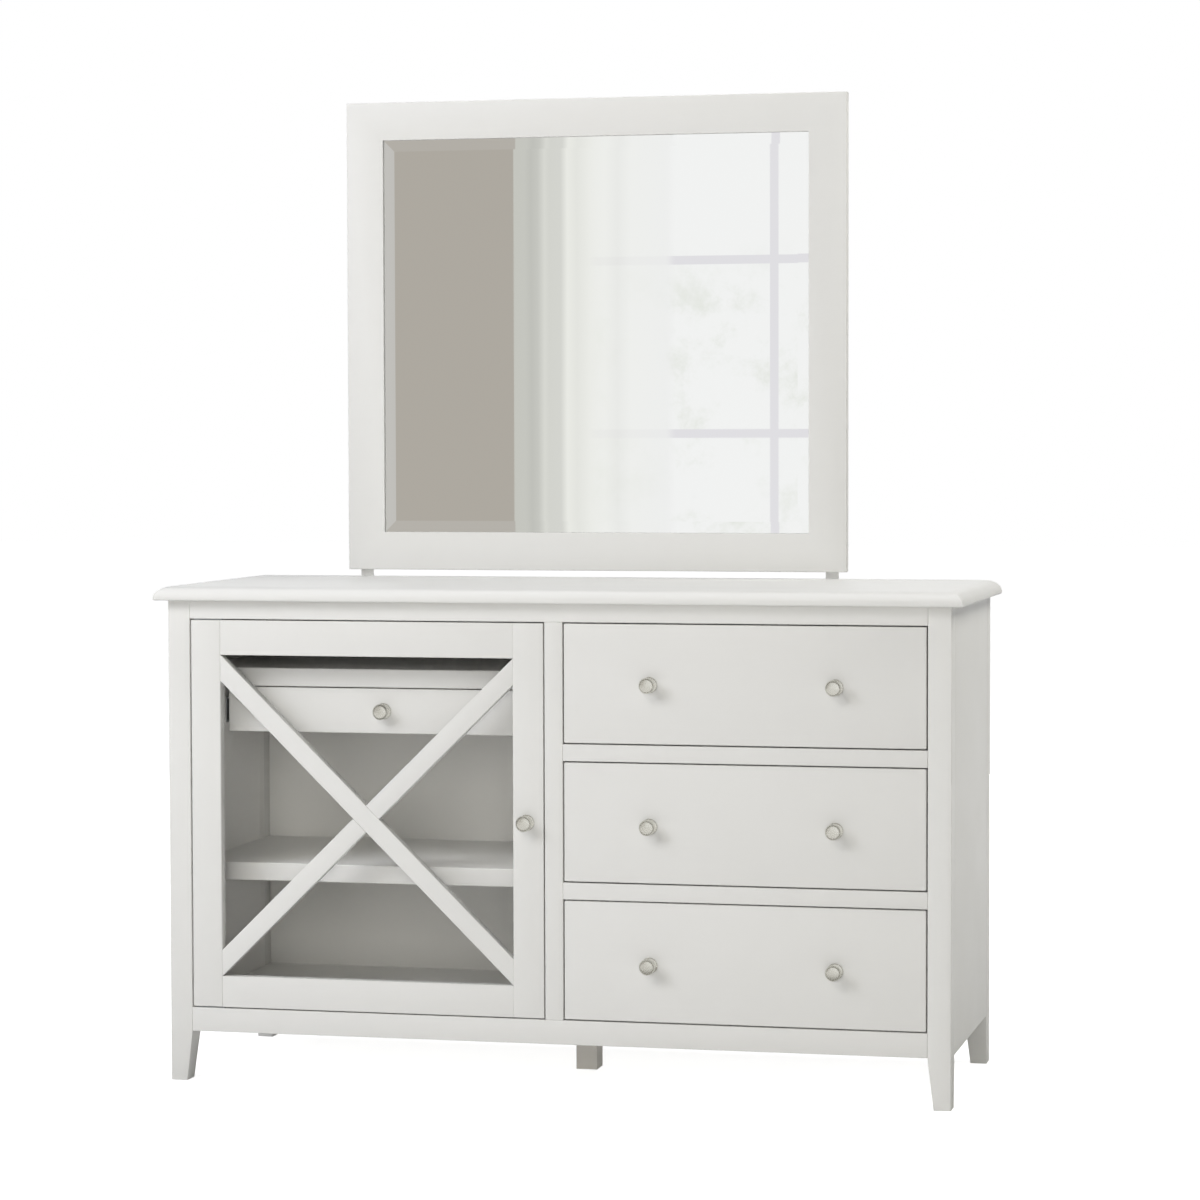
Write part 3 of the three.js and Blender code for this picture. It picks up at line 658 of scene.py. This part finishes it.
knobLook = {
    "sides": 72, "smoothAngle": 60,
    "rings": [  # radius and distance from the front, in metres
        (0.0138, 0.0000), (0.0140, 0.0004), (0.0140, 0.0012), (0.0138, 0.0018), (0.0134, 0.0022),
        (0.0126, 0.0025), (0.0098, 0.0027), (0.0084, 0.0033), (0.0073, 0.0043), (0.0067, 0.0058),
        (0.0065, 0.0080), (0.0066, 0.0105), (0.0069, 0.0122), (0.0076, 0.0134), (0.0088, 0.0143),
        (0.0102, 0.0149), (0.0115, 0.0157), (0.0126, 0.0167), (0.0133, 0.0178), (0.0137, 0.0189),
        (0.0138, 0.0200), (0.0137, 0.0211), (0.0134, 0.0222), (0.0129, 0.0232), (0.0123, 0.0240),
        (0.0117, 0.0246), (0.0111, 0.0250), (0.0106, 0.0252), (0.0099, 0.02535), (0.0074, 0.0257),
        (0.0042, 0.0259), (0.0010, 0.0260),
    ],
}


def turnKnob(look):
    knob = turnRings(look)
    knob.rotation_euler = (math.pi / 2, 0, 0)
    applyPlace(knob)
    smoothPiece(knob, look["smoothAngle"])
    return knob


knobPattern = turnKnob(knobLook)
for node in nodes:
    if "_knob" in node:
        low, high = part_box(node)
        name = pieceName(node, "Turned")
        place = ((low.x + high.x) / 2, high.y, (low.z + high.z) / 2)
        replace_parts(finishPiece(copyTo(knobPattern, place), name, node, "nickel"), node)
dropPattern(knobPattern)
print("Knobs made")


# Strike plate that the catch pulls, on the back of the door's right stile

strikeLook = {"width": 0.016, "height": 0.042, "thickness": 0.0011, "fromEdge": 0.004, "softness": 0.0003}


def strikeCorners(look):
    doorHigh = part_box("door_stile_right")[1]
    catchLow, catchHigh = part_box("door_catch")
    right = doorHigh.x - look["fromEdge"]
    level = (catchLow.z + catchHigh.z) / 2
    low = Vector((right - look["width"], doorHigh.y, level - look["height"] / 2))
    high = Vector((right, doorHigh.y + look["thickness"], level + look["height"] / 2))
    return low, high


strikeLow, strikeHigh = strikeCorners(strikeLook)
fixPiece(cutBoard(strikeLow, strikeHigh, strikeLook["softness"]), "doorStrikePlate", "door", "zinc")


# Pivot plates, let into both ends of the door's left stile

pivotLook = {
    "start": 0.0155, "setBack": 0.001, "length": 0.040, "width": 0.010,
    "proud": 0.0003, "sunk": 0.0010, "softness": 0.0002,
}


def makePivotPlates(look):
    stileLow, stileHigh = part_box("door_stile_left")
    left, front = stileLow.x + look["start"], stileLow.y + look["setBack"]
    for name, level, up in (("Lower", stileLow.z, 1), ("Upper", stileHigh.z, -1)):
        ends = sorted((level - up * look["proud"], level + up * look["sunk"]))
        low = Vector((left, front, ends[0]))
        high = Vector((left + look["length"], front + look["width"], ends[1]))
        fixPiece(cutBoard(low, high, look["softness"]), "doorPivotPlate" + name, "door", "zinc")


makePivotPlates(pivotLook)
print("Door plates made")


# Screws: pan heads with a crossed recess, all facing the back

screwLook = {
    "sides": 28, "rings": [(0.0038, 0.0), (0.0038, 0.0003), (0.0034, 0.0009), (0.0024, 0.0013)],
    "recessLength": 0.0042, "recessWidth": 0.0010, "recessDepth": 0.0008, "turn": 20, "smoothAngle": 30,
}


def makeScrew(look):
    screw = turnRings(look)
    for turn in (0, math.pi / 2):
        deselectAll()
        bpy.ops.mesh.primitive_cube_add(
            size=1, location=(0, 0, look["rings"][-1][1]), rotation=(0, 0, turn),
            scale=(look["recessLength"], look["recessWidth"], 2 * look["recessDepth"]))
        cutter = bpy.context.object
        applyPlace(cutter)
        recess = screw.modifiers.new("recess", "BOOLEAN")
        recess.object = cutter
        recess.operation = "DIFFERENCE"
        recess.solver = "EXACT"
        makeActive(screw)
        bpy.ops.object.modifier_apply(modifier=recess.name)
        dropPattern(cutter)
    screw.rotation_euler = (-math.pi / 2, math.radians(look["turn"]), 0)
    applyPlace(screw)
    smoothPiece(screw, look["smoothAngle"])
    return screw


screwSpots = {  # in metres
    "strap": {"heights": (0.795, 0.830, 0.905, 0.940, 1.100, 1.285), "sunk": 0.0013},
    "panelBottom": {"count": 7, "inset": 0.04, "rise": 0.009},
    "panelMiddle": {"count": 4, "first": 0.12, "spacing": 0.15},
    "panelShelf": {"fromLeft": 0.06, "fromPartition": 0.08, "drop": 0.009},
    "strike": {"offsets": (-0.014, 0.014), "sunk": 0.0004},
}


def screwPlaces(spots):
    # Where the heads lie: on the straps, along the back panel and on the door's strike plate
    low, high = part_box("back_panel")
    partition = sum(corner.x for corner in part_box("centre_partition")) / 2
    places = []
    for side in ("left", "right"):
        strapLow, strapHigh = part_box("mirror_strap_" + side)
        middle, back = (strapLow.x + strapHigh.x) / 2, strapHigh.y - spots["strap"]["sunk"]
        for height in spots["strap"]["heights"]:
            places.append(("strap" + side.capitalize(), "case", (middle, back, height)))
    row = spots["panelBottom"]
    for step in range(row["count"]):
        across = low.x + row["inset"] + step * (high.x - low.x - 2 * row["inset"]) / (row["count"] - 1)
        places.append(("panelBottom", "case", (across, high.y, low.z + row["rise"])))
    row = spots["panelMiddle"]
    for step in range(row["count"]):
        level = low.z + row["first"] + step * row["spacing"]
        places.append(("panelMiddle", "case", (partition, high.y, level)))
    row = spots["panelShelf"]
    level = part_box("fixed_shelf")[1].z - row["drop"]
    for across in (low.x + row["fromLeft"], (low.x + partition) / 2, partition - row["fromPartition"]):
        places.append(("panelShelf", "case", (across, high.y, level)))
    middle = (strikeLow + strikeHigh) / 2
    for offset in spots["strike"]["offsets"]:
        place = (middle.x, strikeHigh.y - spots["strike"]["sunk"], middle.z + offset)
        places.append(("strike", "door", place))
    return places


screwPattern = makeScrew(screwLook)
counts = {}
for label, body, place in screwPlaces(screwSpots):
    counts[label] = counts.get(label, 0) + 1
    fixPiece(copyTo(screwPattern, place), f"{label}Screw{counts[label]}", body, "zinc")
dropPattern(screwPattern)
print("Screws made")


# Spring points in the frame's pocket hold the mirror's back

pointLook = {
    "width": 0.012, "length": 0.014, "thickness": 0.0008, "overlap": 0.001, "softness": 0.0002,
    "perSide": 4, "perEnd": 4,
}


def makePoints(look):
    low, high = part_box("mirror_back")
    number = 0
    for along, across, count in ((2, 0, look["perSide"]), (0, 2, look["perEnd"])):  # 0 is x and 2 is z
        for step in range(count):
            middle = low[along] + (step + 0.5) * (high[along] - low[along]) / count
            for edge, inward in ((low[across], 1), (high[across], -1)):
                number += 1
                start, end = high.copy(), high.copy()
                end.y += look["thickness"]
                start[along], end[along] = middle - look["width"] / 2, middle + look["width"] / 2
                start[across], end[across] = sorted(
                    (edge - inward * look["overlap"], edge + inward * look["length"]))
                point = cutBoard(start, end, look["softness"])
                fixPiece(point, f"mirrorPoint{number}", "case", "zinc")


makePoints(pointLook)
print("Mirror points made")


# Floor and background

floorLook = {
    "size": 60.0, "colour": (0.80, 0.80, 0.80), "roughness": 0.9,
    "seen": {"From Min": 1.0, "From Max": 3.0, "To Min": 0.78, "To Max": 1.0},
    "mirrored": {"From Min": 1.0, "From Max": 6.0, "To Min": 0.22, "To Max": 1.0},
}


def makeFloor(look):
    # Its glow grows with the distance from the dresser, and only the camera and reflections see it
    deselectAll()
    bpy.ops.mesh.primitive_plane_add(size=look["size"], location=(0, 0, 0))
    floor = bpy.context.object
    floor.name = "paleFloor"
    material, tree, shader, coordinates = newMaterial("paleFloor")
    setInputs(shader, {
        "Base Color": (*look["colour"], 1), "Roughness": look["roughness"], "Specular IOR Level": 0.0,
        "Emission Color": (1, 1, 1, 1),
    })
    path = tree.nodes.new("ShaderNodeLightPath")
    mirrored = addMath(tree, "MAXIMUM", path.outputs["Is Glossy Ray"], path.outputs["Is Transmission Ray"])
    reach = tree.nodes.new("ShaderNodeVectorMath")
    reach.operation = "LENGTH"
    tree.links.new(coordinates, reach.inputs[0])
    shares = []
    for ray, limits in ((path.outputs["Is Camera Ray"], look["seen"]), (mirrored, look["mirrored"])):
        shares.append(addMath(tree, "MULTIPLY", ray, remap(tree, reach.outputs["Value"], limits)))
    tree.links.new(addMath(tree, "MAXIMUM", *shares), shader.inputs["Emission Strength"])
    floor.data.materials.append(material)


worldLook = {"ambient": 0.02, "seen": 1.0}


def makeWorld(look):
    world = bpy.data.worlds.new("softStudio")
    bpy.context.scene.world = world
    world.use_nodes = True
    tree = world.node_tree
    background = tree.nodes["Background"]
    background.inputs["Color"].default_value = (1, 1, 1, 1)
    path = tree.nodes.new("ShaderNodeLightPath")
    seen = addMath(tree, "MAXIMUM", path.outputs["Is Camera Ray"], path.outputs["Is Glossy Ray"])
    seen = addMath(tree, "MAXIMUM", seen, path.outputs["Is Transmission Ray"])
    strength = remap(tree, seen, {"To Min": look["ambient"], "To Max": look["seen"]})
    tree.links.new(strength, background.inputs["Strength"])


lampLooks = {  # places and sizes in metres, power in watts
    "frontSoftbox": {
        "place": (0.9, -6.4, 1.4), "aim": (0.0, 0.0, 0.7),
        "size": 2.4, "power": 105, "tint": (1.0, 0.978, 0.925)},
    "keySoftbox": {
        "place": (-1.2, -3.6, 3.7), "aim": (0.0, 0.0, 0.6),
        "size": 1.6, "power": 44, "tint": (1.0, 0.975, 0.91)},
    "leftSoftbox": {
        "place": (-2.6, -2.6, 2.6), "aim": (-0.2, 0.0, 0.7),
        "size": 1.8, "power": 71, "tint": (0.93, 0.945, 1.0)},
    "rightSoftbox": {
        "place": (3.0, 0.2, 3.9), "aim": (0.6, 0.0, 0.7),
        "size": 2.0, "power": 101, "tint": (1.0, 0.985, 0.93)},
    "overheadSoftbox": {
        "place": (-0.3, 0.1, 4.4), "aim": (-0.2, 0.0, 0.8),
        "size": 2.6, "power": 42, "tint": (0.86, 0.895, 1.0)},
    "backSoftbox": {
        "place": (-0.6, 5.6, 1.2), "aim": (0.0, 0.2, 0.8),
        "size": 2.4, "power": 88, "tint": (1.0, 0.985, 0.95)},
}


def makeLamp(name, look):
    place, aim = Vector(look["place"]), Vector(look["aim"])
    turn = (aim - place).to_track_quat("-Z", "Y").to_euler()
    bpy.ops.object.light_add(type="AREA", location=place, rotation=turn)
    lamp = bpy.context.object
    lamp.name = name
    lamp.data.shape = "SQUARE"
    lamp.data.size = look["size"]
    lamp.data.energy = look["power"]
    lamp.data.color = look["tint"]
    lamp.visible_glossy = False


makeFloor(floorLook)
makeWorld(worldLook)
for name, look in lampLooks.items():
    makeLamp(name, look)
print("Floor and lamps placed")


# Cards that only reflections see: a taupe wall, a sheer curtain and a bright window behind the camera,
# and dull sides, ceiling and carpet that give the knobs' rims something darker to reflect.
# Noises are given by scale, detail and roughness.

roomLook = {
    "depth": -8.0, "bottom": 0.0, "top": 3.4,
    "wall": {  # its lighter edges: where each starts and ends, and how strong it is
        "left": -6.5, "right": -2.20, "behind": 0.02,
        "colour": (0.470, 0.437, 0.392), "edgeColour": (0.60, 0.585, 0.56),
        "leftEdge": (-2.95, -3.30, 1.0), "upperEdge": (2.40, 2.65, 0.22), "lowerEdge": (0.70, 0.50, 0.34)},
    "window": {
        "left": -2.25, "right": 0.6, "behind": 0.08,
        "clear": (0.985, 0.985, 0.985), "leafy": (0.855, 0.872, 0.825),
        "leafNoise": (2.6, 7.0, 0.72), "leafFrom": 0.47, "leafTo": 0.68, "skyFrom": 2.0, "skyBlend": 0.4},
    "bars": {
        "width": 0.036, "uprights": (-1.257, -0.60), "levels": (1.859, 1.138),
        "uprightGap": 0.03, "levelGap": 0.04, "colour": (0.83, 0.815, 0.85)},
    "curtain": {
        "left": -2.36, "right": -1.66, "sheerFrom": -2.05, "sheer": 0.20, "sheerBlend": 0.06,
        "edgeBlend": 0.05, "wander": 0.012, "wanderStretch": (6.0, 0.0, 0.7), "wanderNoise": (1.0, 2.0, 0.5),
        "denseTint": (1.0, 1.0, 0.93), "sheerTint": (1.0, 1.0, 1.0),
        "folds": [  # place across the curtain, and brightness: the pleats' light and shade, painted on the flat card
            (0.00, 0.62), (0.07, 0.62), (0.11, 0.58), (0.15, 0.62), (0.19, 0.76), (0.22, 0.72),
            (0.29, 0.73), (0.33, 0.91), (0.39, 0.86), (0.47, 0.92), (0.56, 0.94), (0.64, 0.89),
            (0.72, 0.95), (1.00, 0.94)]},
    "sides": {"left": -5.2, "right": 5.2, "front": -7.9, "back": 4.0, "colour": (0.36, 0.355, 0.33)},
    "carpet": {
        "size": (10.4, 8.2), "place": (0.0, -3.8, 0.002), "colour": (0.36, 0.355, 0.33),
        "farColour": (0.82, 0.81, 0.79), "near": -0.7, "far": -1.3},
}


def glowMaterial(name, colour):
    material, tree, shader, coordinates = newMaterial(name)
    setInputs(shader, {
        "Base Color": (0, 0, 0, 1), "Roughness": 1.0, "Specular IOR Level": 0.0,
        "Emission Color": (*colour, 1), "Emission Strength": 1.0,
    })
    return material, tree, shader, coordinates


def ramp(tree, value, start, end):
    return remap(tree, value, {"From Min": start, "From Max": end}, "SMOOTHSTEP")


def readAxis(tree, coordinates, axis):
    node = tree.nodes.new("ShaderNodeSeparateXYZ")
    tree.links.new(coordinates, node.inputs["Vector"])
    return node.outputs[axis]


def stagePlane(name, size, place, turn, material):
    deselectAll()
    bpy.ops.mesh.primitive_plane_add(size=1, location=place, rotation=turn)
    card = bpy.context.object
    card.scale = (*size, 1)
    card.name = name
    applyPlace(card)
    card.data.materials.append(material)
    card.visible_camera = False
    card.visible_diffuse = False
    card.visible_shadow = False
    card.visible_transmission = False


def stageCard(name, left, right, bottom, top, depth, material):
    place = ((left + right) / 2, depth, (bottom + top) / 2)
    stagePlane(name, (right - left, top - bottom), place, (math.pi / 2, 0, 0), material)


def makeWindow(look, bottom, top, depth):
    material, tree, shader, coordinates = glowMaterial("roomWindow", look["clear"])
    leaves = ramp(tree, addNoise(tree, coordinates, *look["leafNoise"]), look["leafFrom"], look["leafTo"])
    height = readAxis(tree, coordinates, "Z")
    below = ramp(tree, height, look["skyFrom"], look["skyFrom"] - look["skyBlend"])
    shade = addMath(tree, "MULTIPLY", leaves, below)
    tree.links.new(mixColours(tree, shade, look["clear"], look["leafy"]), shader.inputs["Emission Color"])
    stageCard("roomWindow", look["left"], look["right"], bottom, top, depth - look["behind"], material)


def makeWindowBars(look, window, bottom, top, depth):
    painted = glowMaterial("roomWindowBars", look["colour"])[0]
    half, pane = look["width"] / 2, depth - window["behind"]
    for index, place in enumerate(look["uprights"], 1):
        stageCard(f"roomWindowUpright{index}", place - half, place + half, bottom, top,
                  pane + look["uprightGap"], painted)
    for index, level in enumerate(look["levels"], 1):
        stageCard(f"roomWindowLevel{index}", window["left"], window["right"], level - half, level + half,
                  pane + look["levelGap"], painted)


def makeWall(look, bottom, top, depth):
    material, tree, shader, coordinates = glowMaterial("roomWall", look["colour"])
    lighter = 0.0
    for axis, edge in (("X", "leftEdge"), ("Z", "upperEdge"), ("Z", "lowerEdge")):
        start, end, strength = look[edge]
        share = addMath(tree, "MULTIPLY", ramp(tree, readAxis(tree, coordinates, axis), start, end), strength)
        lighter = addMath(tree, "MAXIMUM", lighter, share)
    mixed = mixColours(tree, lighter, look["colour"], look["edgeColour"])
    tree.links.new(mixed, shader.inputs["Emission Color"])
    stageCard("roomWall", look["left"], look["right"], bottom, top, depth - look["behind"], material)


def makeCurtain(look, bottom, top, depth):
    material, tree, shader, coordinates = glowMaterial("roomCurtain", look["denseTint"])
    across = readAxis(tree, coordinates, "X")
    hang = addNoise(tree, stretch(tree, coordinates, look["wanderStretch"]), *look["wanderNoise"])
    sway = addMath(tree, "MULTIPLY", addMath(tree, "SUBTRACT", hang, 0.5), look["wander"])
    fromLeft = addMath(tree, "SUBTRACT", addMath(tree, "ADD", across, sway), look["left"])
    folds = tree.nodes.new("ShaderNodeValToRGB")
    tree.links.new(addMath(tree, "DIVIDE", fromLeft, look["right"] - look["left"]), folds.inputs["Fac"])
    stops = folds.color_ramp.elements
    while len(stops) < len(look["folds"]):
        stops.new(0.5)  # moved to its place below
    for stop, (position, level) in zip(stops, look["folds"]):
        tint = Vector(look["denseTint"]).lerp(Vector(look["sheerTint"]), position)
        stop.position = position
        stop.color = (*(level * tint), 1)
    tree.links.new(folds.outputs["Color"], shader.inputs["Emission Color"])
    thin = ramp(tree, across, look["sheerFrom"], look["sheerFrom"] + look["sheerBlend"])
    fade = ramp(tree, across, look["right"] - look["edgeBlend"], look["right"])
    clear = addMath(tree, "ADD", addMath(tree, "MULTIPLY", thin, look["sheer"]),
                    addMath(tree, "MULTIPLY", fade, 1.0 - look["sheer"]))
    tree.links.new(addMath(tree, "SUBTRACT", 1.0, clear), shader.inputs["Alpha"])
    stageCard("roomCurtain", look["left"], look["right"], bottom, top, depth, material)


def makeSides(look, bottom, top):
    painted = glowMaterial("roomSides", look["colour"])[0]
    length, middle = look["back"] - look["front"], (look["front"] + look["back"]) / 2
    width, height = look["right"] - look["left"], top - bottom
    for side in ("left", "right"):
        stagePlane("roomSide" + side.capitalize(), (height, length),
                   (look[side], middle, (bottom + top) / 2), (0, math.pi / 2, 0), painted)
    stagePlane("roomCeiling", (width, length), (0, middle, top), (0, 0, 0), painted)


def makeCarpet(look):
    material, tree, shader, coordinates = glowMaterial("roomCarpet", look["colour"])
    away = ramp(tree, readAxis(tree, coordinates, "Y"), look["near"], look["far"])
    mixed = mixColours(tree, away, look["colour"], look["farColour"])
    tree.links.new(mixed, shader.inputs["Emission Color"])
    stagePlane("roomCarpet", look["size"], look["place"], (0, 0, 0), material)


def makeRoom(look):
    span = (look["bottom"], look["top"], look["depth"])
    makeWindow(look["window"], *span)
    makeWindowBars(look["bars"], look["window"], *span)
    makeWall(look["wall"], *span)
    makeCurtain(look["curtain"], *span)
    makeSides(look["sides"], look["bottom"], look["top"])
    makeCarpet(look["carpet"])


makeRoom(roomLook)
print("Studio and room made")

bpy.context.scene.view_settings.view_transform = "Standard"
